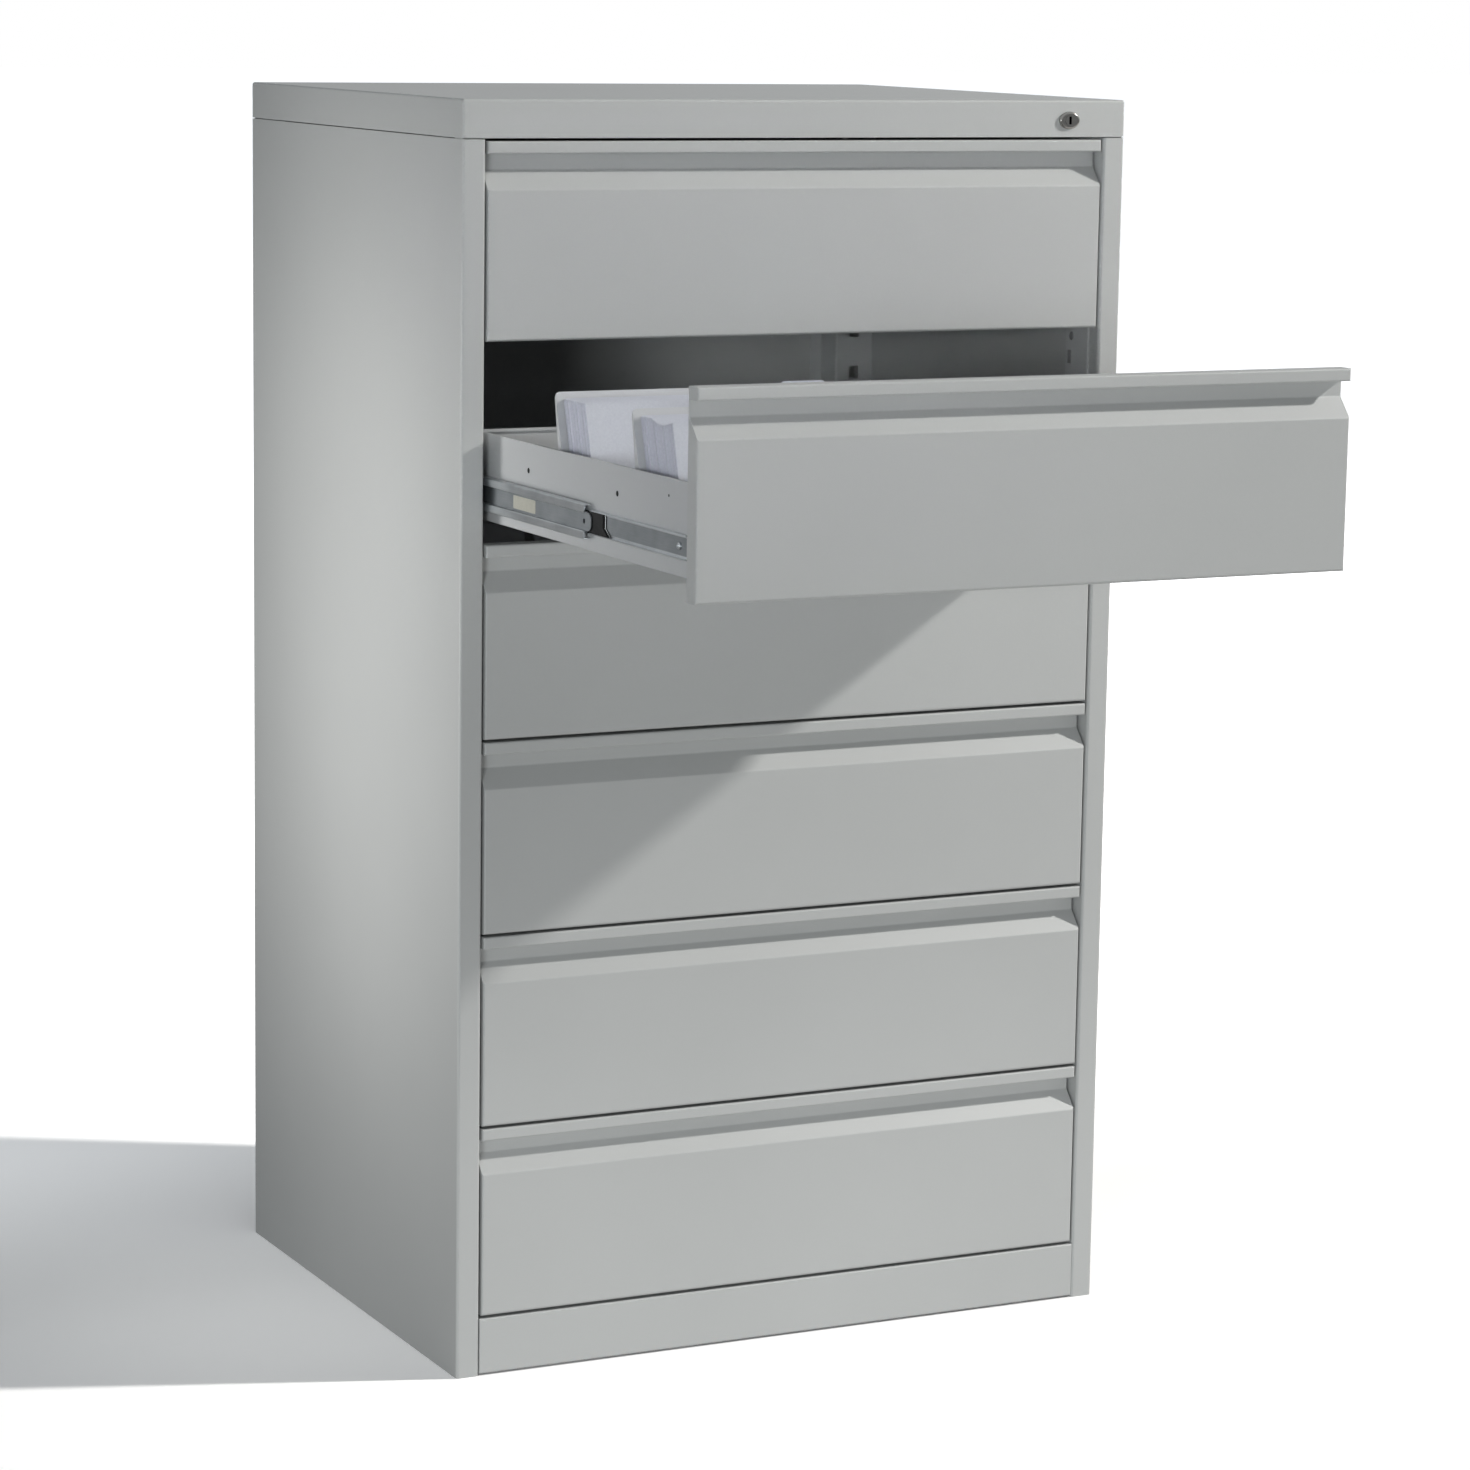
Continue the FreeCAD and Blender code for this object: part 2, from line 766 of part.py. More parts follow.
def support_plate():
    """Leaning plate with side folds and a foot; its foot's front edge is at the origin, on the tray floor."""
    face = along_y(
        [
            (-plate_half, 0),
            (plate_half, 0),
            (plate_half, plate_height, plate_corner),
            (-plate_half, plate_height, plate_corner),
        ],
        0,
        plate_sheet,
    )
    fold_top = plate_height - plate_corner
    fold = [
        (0, 0),
        (plate_side_fold, 0),
        (plate_sheet * 2, fold_top),
        (0, fold_top),
    ]
    folds = [
        along_x(fold, -plate_half, -plate_half + plate_sheet),
        along_x(fold, plate_half - plate_sheet, plate_half),
    ]
    leaning = joined([face] + folds)
    leaning.rotate(V(0, 0, 0), V(1, 0, 0), -plate_tilt)
    above_floor = block((-lane_pitch, lane_pitch), (-plate_height, plate_height), (0, 2 * plate_height))
    foot = block((-plate_half, plate_half), (0, plate_foot), (0, plate_sheet))
    return joined([leaning.common(above_floor), foot])


def card_stack(thickness):
    """Cards leaning at the plate's angle; the rear card's lower edge is at the origin."""
    height = card_height * math.cos(math.radians(plate_tilt))
    lean = card_height * math.sin(math.radians(plate_tilt))
    section = [(0, 0), (lean, height), (lean - thickness, height), (-thickness, 0)]
    return along_x(section, -card_half, card_half)


def buffers():
    """Rubber stops on the rear uprights, one behind each end of every tray's rear wall."""
    x = wall_inside - rear_upright_width + buffer_inset
    start = tray_rear + buffer_play
    return [
        rod(V(side * x, start, front_bottom(number) + tray_top - buffer_drop), V(0, 1, 0),
            rear_upright_face - start, buffer_radius)
        for number in drawers
        for side in (-1, 1)
    ]


def lock_housing():
    """Oval rosette on the apron with the barrel through it, bored for the plug."""
    oval = Part.Face(Part.Wire(Part.Ellipse(V(0, 0, 0), rosette_width / 2, rosette_height / 2).toShape()))
    rosette = oval.extrude(V(0, 0, rosette_thickness))
    rim = [edge for edge in rosette.Edges if edge.BoundBox.ZMin > rosette_thickness / 2]
    rosette = rosette.makeFillet(rosette_edge, rim)
    rosette.Placement = FreeCAD.Placement(
        V(lock_x, front_plane, lock_z), FreeCAD.Rotation(V(1, 0, 0), 90)
    )
    barrel = rod(V(lock_x, front_plane, lock_z), V(0, 1, 0), barrel_length, barrel_radius)
    bore = rod(
        V(lock_x, front_plane - rosette_thickness, lock_z), V(0, 1, 0),
        rosette_thickness + barrel_length, plug_radius + plug_play,
    )
    return joined([rosette, barrel]).cut(bore)


def lock_nut():
    """Hexagon nut that clamps the barrel to the apron from inside."""
    centre = V(lock_x, front_plane + carcass_sheet, lock_z)
    nut = hexagon(centre, V(0, 1, 0), nut_radius, nut_thickness)
    return nut.cut(rod(centre, V(0, 1, 0), nut_thickness, barrel_radius + barrel_play))


def lock_plug():
    """Turning plug with a keyway in its face."""
    front = front_plane - rosette_thickness - plug_proud
    plug = rod(V(lock_x, front, lock_z), V(0, 1, 0), barrel_rear + cam_gap - front, plug_radius)
    keyway = block(
        (lock_x - keyway_width / 2, lock_x + keyway_width / 2),
        (front, front + keyway_depth),
        (lock_z - keyway_height / 2, lock_z + keyway_height / 2),
    )
    return plug.cut(keyway)


def cam_pin_place():
    """Centre of the cam's pin at rest, below and to the left of the plug's axis."""
    angle = math.radians(cam_rest_angle)
    return V(lock_x - cam_throw * math.cos(angle), 0, lock_z - cam_throw * math.sin(angle))


def lock_cam():
    """Cam on the plug's rear end with the pin that lifts the lock bar."""
    start = barrel_rear + cam_gap
    pin_at = cam_pin_place()
    rear = V(0, 1, 0)
    disc = rod(V(lock_x, start, lock_z), rear, cam_thickness, cam_throw)
    lobe = rod(V(pin_at.x, start, pin_at.z), rear, cam_thickness, cam_rim)
    reach = bar_front + bar_thickness + arm_gap - start
    pin = rod(V(pin_at.x, start, pin_at.z), rear, reach, cam_pin_radius)
    return joined([disc, lobe, pin])


def arm_bottom():
    """Lower edge of the lock bar's arm at rest, with the pin in the middle of the arm."""
    return cam_pin_place().z - arm_height / 2


def lock_bar():
    """Flat bar, lifted to lock, with an arm to the cam and one tab to each drawer welded to its face."""
    pin_at = cam_pin_place()
    bottom = front_bottom(drawer_count) + tab_top - tab_height
    across = (bar_left, bar_left + bar_thickness)
    depth = (bar_front, bar_front + bar_width)
    flat = block(across, depth, (bottom, arm_bottom() + arm_height))
    arm = block(
        (lock_x - arm_overreach, bar_left),
        (bar_front, bar_front + bar_thickness),
        (arm_bottom(), arm_bottom() + arm_height),
    )
    tabs = [
        block(
            (bar_left - tab_reach, bar_left),
            (tab_front, tab_front + bar_thickness),
            (front_bottom(number) + tab_top - tab_height, front_bottom(number) + tab_top),
        )
        for number in drawers
    ]
    play = cam_pin_radius + cam_pin_play
    slot = block(
        (lock_x - cam_throw - play, pin_at.x + play),
        (bar_front, bar_front + bar_thickness),
        (pin_at.z - play, pin_at.z + play),
    )
    return [flat, arm.cut(slot)] + tabs


def bar_guides():
    """Plastic blocks in the upright that the lock bar slides through."""
    pieces = []
    web = post_inside + carcass_sheet
    front = front_upright_front + carcass_bend
    for number in guide_drawers:
        low = front_bottom(number) + guide_rise
        level = (low, low + guide_height)
        body = block(
            (web, bar_left + bar_thickness + guide_wall),
            (front, bar_front + bar_width + guide_wall),
            level,
        )
        slot = block(
            (bar_left - guide_play, bar_left + bar_thickness + guide_play),
            (bar_front - guide_play, bar_front + bar_width + guide_play),
            level,
        )
        pieces.append(body.cut(slot))
    return pieces


def levelling():
    """Levelling screws in the corners of the base, and the nuts they turn in."""
    screws = [rod(V(x, y, 0), V(0, 0, 1), level_length, level_radius) for x, y in level_places]
    nuts = []
    for x, y in level_places:
        seat = V(x, y, base_sheet)
        nut = hexagon(seat, V(0, 0, 1), level_nut_radius, level_nut_height)
        nuts.append(nut.cut(rod(seat, V(0, 0, 1), level_nut_height, level_radius + level_play)))
    return screws, nuts


def build_carcass():
    right_wall = side_panel()
    save("right_side_panel", [right_wall])
    save("left_side_panel", [mirrored(right_wall)])
    save("back_panel", [back_panel()])
    save("top_panel", [top_panel()])
    save("base_frame", [base_frame()])
    save("plinth_panel", [plinth_panel()])
    save("front_upright_right", [lock_upright()])
    save("front_upright_left", [mirrored(front_upright())])
    corner = rear_upright()
    save("rear_upright_right", [corner])
    save("rear_upright_left", [mirrored(corner)])
    member = outer_member()
    rights = [moved(member, z=front_bottom(number) + slide_rise) for number in drawers]
    save("slide_outers_right", rights)
    save("slide_outers_left", [mirrored(right) for right in rights])
    save("drawer_buffers", buffers())
    save("back_rivets", rivets())
    screws, nuts = levelling()
    save("levelling_screws", screws)
    save("levelling_nuts", nuts)


def build_lock():
    save("lock_housing", [lock_housing()])
    save("lock_nut", [lock_nut()])
    save("lock_plug", [lock_plug()])
    save("lock_cam", [lock_cam()])
    save("lock_bar", lock_bar())
    save("lock_bar_guides", bar_guides())


def build_drawers():
    front = drawer_front()
    tray = drawer_tray()
    dividers = lane_dividers()
    plate = support_plate()
    middles = middle_member()
    inners = inner_member()
    closed_plates = [(lane, closed_plate_setback, 0.0) for lane in (-1, 0, 1)]
    for number in drawers:
        z = front_bottom(number)
        out = -drawer_open if number == open_drawer else 0.0
        name = "drawer_%d_" % number
        save(name + "front", [moved(front, y=out, z=z)])
        save(name + "tray", [moved(piece, y=out, z=z) for piece in tray])
        save(name + "lane_dividers", [moved(piece, y=out, z=z) for piece in dividers])
        inner = [moved(piece, y=out, z=z + slide_rise) for piece in inners]
        save(name + "slide_inners", inner + [mirrored(piece) for piece in inner])
        middle = [moved(piece, y=out * middle_share, z=z + slide_rise) for piece in middles]
        save(name + "slide_middles", middle + [mirrored(piece) for piece in middle])
        plates = []
        cards = []
        for lane, setback, thickness in open_plates if number == open_drawer else closed_plates:
            place = dict(x=lane * lane_pitch, y=tray_front + setback + out, z=z + tray_floor + plate_play)
            plates.append(moved(plate, **place))
            if thickness:
                place["y"] -= card_play
                cards.append(moved(card_stack(thickness), **place))
        save(name + "support_plates", plates)
        if cards:
            save(name + "card_stacks", cards)


os.makedirs("parts", exist_ok=True)
build_carcass()
build_lock()
build_drawers()
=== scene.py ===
import bmesh
import bpy
import json
import math
from mathutils import Matrix, Vector


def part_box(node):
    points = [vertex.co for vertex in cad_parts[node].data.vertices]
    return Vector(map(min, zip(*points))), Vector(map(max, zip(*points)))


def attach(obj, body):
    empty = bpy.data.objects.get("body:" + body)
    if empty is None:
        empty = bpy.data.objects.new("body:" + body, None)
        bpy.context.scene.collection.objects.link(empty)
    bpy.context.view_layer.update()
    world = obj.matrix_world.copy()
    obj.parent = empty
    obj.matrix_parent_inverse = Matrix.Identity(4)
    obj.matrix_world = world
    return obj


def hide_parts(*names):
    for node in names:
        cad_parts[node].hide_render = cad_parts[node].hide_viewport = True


# Card index cabinet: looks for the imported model. Metres, in the frame of the CAD part.

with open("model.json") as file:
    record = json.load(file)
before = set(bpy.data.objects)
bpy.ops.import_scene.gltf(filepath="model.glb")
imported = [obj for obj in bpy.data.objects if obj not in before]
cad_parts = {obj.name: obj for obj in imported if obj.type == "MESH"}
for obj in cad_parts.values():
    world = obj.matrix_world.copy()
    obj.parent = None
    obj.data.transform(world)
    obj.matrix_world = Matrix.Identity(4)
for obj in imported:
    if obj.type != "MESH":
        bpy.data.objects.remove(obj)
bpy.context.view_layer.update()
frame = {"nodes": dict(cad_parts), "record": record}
record = frame["record"]
nodes = frame["nodes"]
drawers = range(1, 7)

scene = bpy.context.scene
scene.view_settings.view_transform = "Standard"

# Sizes that the looks take from the part, in metres: slides and screws, lock, and the holes in each side of
# a tray as distance behind its front, below its top, and radius
drawer_pitch = 0.2085
lowest_slide = 0.116
inner_web = 0.0012
middle_web_face = 0.0064
middle_web_half = 0.0090
rail_blend = 0.0004
screw_head_middle = 0.3572
screw_head_half = 0.0011
screw_head_radius = 0.0045
lock_face = -0.3130
# Depths behind the lock's face past which its nickel is painted black: painted shade in the keyway and a
# painted shadow round the rosette's rim, with the blend between them
keyway_painted_shade_depth = 0.0004
rosette_painted_shadow_depth = 0.003
painted_shade_blend = 0.0008
tray_side = 0.3548
tray_sheet = 0.001
tray_holes = ((0.061, 0.017, 0.0015), (0.1782, 0.028, 0.003), (0.3942, 0.028, 0.003))

# Index cards, in metres. A card's lead is a share of its step, and the sunken cards are a share of the front
# stack. Stacks are counted from left to right and front to back.
card_pitch = 0.0009
card_thickness = 0.0008
card_corner = 0.003
card_play = 0.0014
card_drop = 0.0006
card_sway = 0.0006
card_lead = 0.1
stack_end = 0.06
fewest_cards = 3
sunken_from, sunken_to = 0.04, 0.68
sunken_depth = 0.0045
front_stack, middle_stack = 0, 2
guide_rise = 0.0107
guide_tab = (-0.094, -0.044)
guide_inset = 0.004

# Release levers, stickers, and the black discs put in the tray's holes as painted shade, in metres. A disc's
# rim and slope are shares of its radius.
plate_rim = 0.0004
lever_setback = 0.189
lever_length = 0.052
lever_half = 0.0108
lever_step = 0.25 * lever_half
lever_thickness = 0.0030
lever_slant = 0.012
lever_rim = 0.0024
lever_rim_thickness = 0.0010
lever_play = 0.0004
sticker_length = 0.056
sticker_height = 0.0135
sticker_setback = 0.1635
sticker_corner = 0.0012
sticker_thickness = 0.00012
shade_disc_play = 0.0001
shade_disc_segments = 20
shade_disc_rim_share = 0.22
shade_disc_slope_share = 0.12
shade_disc_dish = 0.0003

# Floor: half its side in metres, its bounce, and its shade for the camera, which grows over a stretch of Y
# behind the front, and with the square of the distance from a middle point, up to a most
floor_half = 60.0
floor_bounce = 0.60
floor_turn = (0.1, 0.8)
floor_shade = (1.12, 2.2)
floor_middle = (1.0, -0.4, 0.0)
floor_growth = 0.15
floor_most = 6.5

# World: light on the object, white for the camera, and what mirror reflections get on top; lamps' colours
world_light = 0.17
world_white = 1.0
world_mirror = 0.40
key_white = (1.0, 0.978, 0.950)
warm_white = (1.0, 0.985, 0.965)
cool_white = (0.945, 0.980, 1.0)
plain_white = (1.0, 1.0, 1.0)

# Camera: place in metres, yaw, pitch and roll in degrees, sensor and lens in millimetres
camera_place = (-2.1836, -4.5630, 1.4835)
camera_turn = (26.399, -9.611, 0.883)
camera_sensor = 36.0
camera_lens = 109.6


def srgb(code):
    """Linear colour of an sRGB hex value."""
    parts = [int(code[i:i + 2], 16) / 255 for i in (1, 3, 5)]
    linear = [c / 12.92 if c <= 0.04045 else ((c + 0.055) / 1.055) ** 2.4 for c in parts]
    return (*linear, 1.0)


def per_metre(millimetres):
    """Texture scale that repeats about once in this many millimetres."""
    return 1000.0 / millimetres


def add(tree, kind, settings=None, links=()):
    """Add a node. Settings are its properties or inputs; links are (input, source node, output)."""
    made = tree.nodes.new(kind)
    for name, value in (settings or {}).items():
        if isinstance(name, int) or name in made.inputs:
            made.inputs[name].default_value = value
        else:
            setattr(made, name, value)
    for name, source, output in links:
        tree.links.new(source.outputs[output], made.inputs[name])
    return made


def new_material(name):
    """Empty material with a Principled shader, its node tree and the shader."""
    material = bpy.data.materials.new(name)
    material.use_nodes = True
    tree = material.node_tree
    tree.nodes.clear()
    shader = add(tree, "ShaderNodeBsdfPrincipled")
    add(tree, "ShaderNodeOutputMaterial", links=[("Surface", shader, "BSDF")])
    return material, tree, shader


def powder_coat(name, light, dark, gloss_low, gloss_high):
    """Polyester powder coat baked on sheet steel: an even satin grey whose fine orange peel softens every
    reflection, with faint cloudiness where the powder lies thicker."""
    material, tree, shader = new_material(name)
    place = add(tree, "ShaderNodeTexCoord")
    clouds = add(tree, "ShaderNodeTexNoise", {"Scale": per_metre(320), "Detail": 3.0, "Roughness": 0.5},
                 [("Vector", place, "Object")])
    # Real orange peel is about 1 mm across; it is drawn at 3.5 mm so that it shows in the render.
    peel = add(tree, "ShaderNodeTexNoise", {"Scale": per_metre(3.5), "Detail": 2.0, "Roughness": 0.45},
               [("Vector", place, "Object")])
    # Single grains of powder are far below a pixel; they are drawn at 1.2 mm as a faint mottle.
    grain = add(tree, "ShaderNodeTexNoise", {"Scale": per_metre(1.2), "Detail": 1.0},
                [("Vector", place, "Object")])
    tone = add(tree, "ShaderNodeMath", {"operation": "MULTIPLY_ADD", 1: 0.35},
               [(0, grain, "Fac"), (2, clouds, "Fac")])
    colour = add(tree, "ShaderNodeValToRGB", links=[("Fac", tone, "Value")])
    colour.color_ramp.elements[0].position = 0.45
    colour.color_ramp.elements[0].color = srgb(dark)
    colour.color_ramp.elements[1].position = 0.90
    colour.color_ramp.elements[1].color = srgb(light)
    gloss = add(tree, "ShaderNodeMapRange", {"To Min": gloss_low, "To Max": gloss_high},
                [("Value", clouds, "Fac")])
    relief = add(tree, "ShaderNodeBump", {"Strength": 0.10, "Distance": 0.0004}, [("Height", peel, "Fac")])
    tree.links.new(colour.outputs["Color"], shader.inputs["Base Color"])
    tree.links.new(gloss.outputs["Result"], shader.inputs["Roughness"])
    tree.links.new(relief.outputs["Normal"], shader.inputs["Normal"])
    shader.inputs["IOR"].default_value = 1.5
    return material


def zinc_plate(name, light, dark, roughness):
    """Bright zinc plating on turned and stamped steel: a cool metal with a fine grain and cloudy patches
    where the passivation is thicker."""
    material, tree, shader = new_material(name)
    place = add(tree, "ShaderNodeTexCoord")
    # The grain is a few hundredths of a millimetre; it is drawn at about 0.8 mm to show.
    lines = add(tree, "ShaderNodeTexNoise", {"Scale": per_metre(0.8), "Detail": 2.0},
                [("Vector", place, "Object")])
    clouds = add(tree, "ShaderNodeTexNoise", {"Scale": per_metre(14), "Detail": 3.0},
                 [("Vector", place, "Object")])
    tone = add(tree, "ShaderNodeMath", {"operation": "MULTIPLY_ADD", 1: 0.5},
               [(0, lines, "Fac"), (2, clouds, "Fac")])
    colour = add(tree, "ShaderNodeValToRGB", links=[("Fac", tone, "Value")])
    colour.color_ramp.elements[0].position = 0.45
    colour.color_ramp.elements[0].color = srgb(dark)
    colour.color_ramp.elements[1].position = 1.0
    colour.color_ramp.elements[1].color = srgb(light)
    gloss = add(tree, "ShaderNodeMapRange", {"To Min": roughness - 0.06, "To Max": roughness + 0.08},
                [("Value", clouds, "Fac")])
    relief = add(tree, "ShaderNodeBump", {"Strength": 0.08, "Distance": 0.0002}, [("Height", lines, "Fac")])
    tree.links.new(colour.outputs["Color"], shader.inputs["Base Color"])
    tree.links.new(gloss.outputs["Result"], shader.inputs["Roughness"])
    tree.links.new(relief.outputs["Normal"], shader.inputs["Normal"])
    shader.inputs["Metallic"].default_value = 1.0
    return material


def slide_zinc(name, light, dark, rail_highlight_light, rail_highlight_dark):
    """Zinc plating on the strip of a ball slide: dull grey webs with rolling lines along the piece, rails
    painted lighter than the webs as a painted highlight, and bright screw heads."""
    material, tree, shader = new_material(name)
    place = add(tree, "ShaderNodeTexCoord")
    # Rolling lines are a few hundredths of a millimetre apart; they are drawn at about 0.8 mm to show.
    stretch = add(tree, "ShaderNodeMapping", {"Scale": (1.0, 0.03, 1.0)}, [("Vector", place, "Object")])
    lines = add(tree, "ShaderNodeTexNoise", {"Scale": per_metre(0.8), "Detail": 2.0},
                [("Vector", stretch, "Vector")])
    clouds = add(tree, "ShaderNodeTexNoise", {"Scale": per_metre(30), "Detail": 2.0},
                 [("Vector", place, "Object")])
    tone = add(tree, "ShaderNodeMath", {"operation": "MULTIPLY_ADD", 1: 0.5},
               [(0, lines, "Fac"), (2, clouds, "Fac")])
    web = add(tree, "ShaderNodeValToRGB", links=[("Fac", tone, "Value")])
    web.color_ramp.elements[0].position = 0.45
    web.color_ramp.elements[0].color = srgb(dark)
    web.color_ramp.elements[1].color = srgb(light)
    rail_highlight = add(tree, "ShaderNodeValToRGB", links=[("Fac", tone, "Value")])
    rail_highlight.color_ramp.elements[0].position = 0.45
    rail_highlight.color_ramp.elements[0].color = srgb(rail_highlight_dark)
    rail_highlight.color_ramp.elements[1].color = srgb(rail_highlight_light)
    # Distance above or below the middle line of the nearest slide, which the rails and screws are told by.
    spot = add(tree, "ShaderNodeSeparateXYZ", links=[("Vector", place, "Object")])
    level = add(tree, "ShaderNodeMath", {"operation": "SUBTRACT", 1: lowest_slide}, [(0, spot, "Z")])
    level = add(tree, "ShaderNodeMath", {"operation": "WRAP", 1: drawer_pitch / 2, 2: -drawer_pitch / 2},
                [(0, level, "Value")])
    level = add(tree, "ShaderNodeMath", {"operation": "ABSOLUTE"}, [(0, level, "Value")])
    # Painted highlight: the rails take a lighter copy of the webs' zinc
    rails = add(tree, "ShaderNodeMapRange",
                {"From Min": middle_web_half - rail_blend, "From Max": middle_web_half + rail_blend},
                [("Value", level, "Value")])
    across = add(tree, "ShaderNodeMath", {"operation": "ABSOLUTE"}, [(0, spot, "X")])
    heads = add(tree, "ShaderNodeMath", {"operation": "COMPARE", 1: screw_head_middle, 2: screw_head_half},
                [(0, across, "Value")])
    inner = add(tree, "ShaderNodeMath", {"operation": "LESS_THAN", 1: screw_head_radius},
                [(0, level, "Value")])
    heads = add(tree, "ShaderNodeMath", {"operation": "MULTIPLY"},
                [(0, heads, "Value"), (1, inner, "Value")])
    bright = add(tree, "ShaderNodeMath", {"operation": "MAXIMUM"},
                 [(0, rails, "Result"), (1, heads, "Value")])
    colour = add(tree, "ShaderNodeMix", {"data_type": "RGBA"},
                 [(0, bright, "Value"), (6, web, "Color"), (7, rail_highlight, "Color")])
    gloss = add(tree, "ShaderNodeMapRange", {"To Min": 0.50, "To Max": 0.30}, [("Value", bright, "Value")])
    relief = add(tree, "ShaderNodeBump", {"Strength": 0.05, "Distance": 0.0002}, [("Height", lines, "Fac")])
    tree.links.new(colour.outputs[2], shader.inputs["Base Color"])
    tree.links.new(gloss.outputs["Result"], shader.inputs["Roughness"])
    tree.links.new(relief.outputs["Normal"], shader.inputs["Normal"])
    shader.inputs["Metallic"].default_value = 1.0
    return material


def nickel_plate(name, painted_shade_from):
    """Nickel over a zinc die casting: mirror-like with a warm cast and faint polishing scuffs, and painted
    black behind a given depth, as painted shade in a keyway and a painted shadow round a rosette's rim."""
    material, tree, shader = new_material(name)
    place = add(tree, "ShaderNodeTexCoord")
    # Polishing scuffs are drawn at 1.5 mm, coarser than real ones.
    scuffs = add(tree, "ShaderNodeTexNoise", {"Scale": per_metre(1.5), "Detail": 4.0, "Distortion": 1.5},
                 [("Vector", place, "Object")])
    plating = add(tree, "ShaderNodeValToRGB", links=[("Fac", scuffs, "Fac")])
    plating.color_ramp.elements[0].color = srgb("#8F8D88")
    plating.color_ramp.elements[1].color = srgb("#B4B2AD")
    spot = add(tree, "ShaderNodeSeparateXYZ", links=[("Vector", place, "Object")])
    # Painted shade: black behind the given depth, for the shade in the keyway and the shadow round the
    # rosette's rim
    painted_shade = add(tree, "ShaderNodeMapRange",
                 {"From Min": painted_shade_from, "From Max": painted_shade_from + painted_shade_blend}, [("Value", spot, "Y")])
    colour = add(tree, "ShaderNodeMix", {"data_type": "RGBA", 7: srgb("#0C0C0C")},
                 [(0, painted_shade, "Result"), (6, plating, "Color")])
    gloss = add(tree, "ShaderNodeMapRange", {"To Min": 0.10, "To Max": 0.22}, [("Value", scuffs, "Fac")])
    tree.links.new(colour.outputs[2], shader.inputs["Base Color"])
    tree.links.new(gloss.outputs["Result"], shader.inputs["Roughness"])
    shader.inputs["Metallic"].default_value = 1.0
    return material


def card_stock(name, light, dark):
    """Uncoated index card: matt white with the faint cloud of pressed fibres."""
    material, tree, shader = new_material(name)
    place = add(tree, "ShaderNodeTexCoord")
    # Fibre clumps are about 1 mm; drawn at 2.5 mm.
    fibres = add(tree, "ShaderNodeTexNoise", {"Scale": per_metre(2.5), "Detail": 4.0, "Roughness": 0.6},
                 [("Vector", place, "Object")])
    colour = add(tree, "ShaderNodeValToRGB", links=[("Fac", fibres, "Fac")])
    colour.color_ramp.elements[0].position = 0.3
    colour.color_ramp.elements[0].color = srgb(dark)
    colour.color_ramp.elements[1].position = 0.7
    colour.color_ramp.elements[1].color = srgb(light)
    relief = add(tree, "ShaderNodeBump", {"Strength": 0.05, "Distance": 0.0002}, [("Height", fibres, "Fac")])
    tree.links.new(colour.outputs["Color"], shader.inputs["Base Color"])
    tree.links.new(relief.outputs["Normal"], shader.inputs["Normal"])
    shader.inputs["Roughness"].default_value = 0.85
    shader.inputs["Specular IOR Level"].default_value = 0.3
    return material


def moulded_black(name, light, dark, grain_size, roughness, relief_strength):
    """Moulded black rubber or plastic: deep grey-black with the fine spark-eroded grain of the mould."""
    material, tree, shader = new_material(name)
    place = add(tree, "ShaderNodeTexCoord")
    grain = add(tree, "ShaderNodeTexVoronoi", {"Scale": per_metre(grain_size)}, [("Vector", place, "Object")])
    colour = add(tree, "ShaderNodeValToRGB", links=[("Fac", grain, "Distance")])
    colour.color_ramp.elements[0].color = srgb(dark)
    colour.color_ramp.elements[1].color = srgb(light)
    gloss = add(tree, "ShaderNodeMapRange", {"To Min": roughness - 0.05, "To Max": roughness + 0.1},
                [("Value", grain, "Distance")])
    relief = add(tree, "ShaderNodeBump", {"Strength": relief_strength, "Distance": 0.0003},
                 [("Height", grain, "Distance")])
    tree.links.new(colour.outputs["Color"], shader.inputs["Base Color"])
    tree.links.new(gloss.outputs["Result"], shader.inputs["Roughness"])
    tree.links.new(relief.outputs["Normal"], shader.inputs["Normal"])
    shader.inputs["Specular IOR Level"].default_value = 0.25
    return material


finishes = {
    "cabinet_paint": powder_coat("powder_coat_light_grey", "#B7B9B8", "#B3B5B4", 0.43, 0.46),
    # The frame's grey is a lighter copy of the cabinet's, as painted light that brightens the shaded inside
    # of the cabinet
    "frame_paint": powder_coat("powder_coat_frame_grey", "#BDBFBF", "#B8BABA", 0.44, 0.48),
    "tray_paint": powder_coat("powder_coat_tray_grey", "#BABCBD", "#B6B8B9", 0.40, 0.44),
    "plate_paint": powder_coat("powder_coat_plate_grey", "#BEC0C2", "#BABCBE", 0.40, 0.44),
    "slide_zinc": slide_zinc("zinc_plated_rolled_steel", "#8A8E91", "#767B7E", "#D4D7D9", "#BCC0C3"),
    "plated_steel": zinc_plate("zinc_plated_turned_steel", "#B6B9BA", "#9A9EA0", 0.32),
    "card_paper": card_stock("index_card_stock_white", "#C6C9D0", "#BDC0C8"),
    "buffer_rubber": moulded_black("moulded_black_rubber", "#1E1E1F", "#121213", 1.5, 0.75, 0.3),
    "lock_plating": nickel_plate("nickel_plated_die_casting", lock_face + rosette_painted_shadow_depth),
    "guide_plastic": moulded_black("moulded_black_acetal_and_hole_shade", "#141516", "#0B0C0D", 1.0, 0.60, 0.12),
}
card_edge = card_stock("index_card_cut_edge", "#D3D4DF", "#C3C4D1")

for part in record["subparts"]:
    mesh = nodes[part["node"]].data
    mesh.materials.clear()
    mesh.materials.append(finishes[part["material_slot"]])
plug_plating = nickel_plate("nickel_plated_plug", lock_face + keyway_painted_shade_depth)
nodes["lock_plug"].data.materials[0] = plug_plating


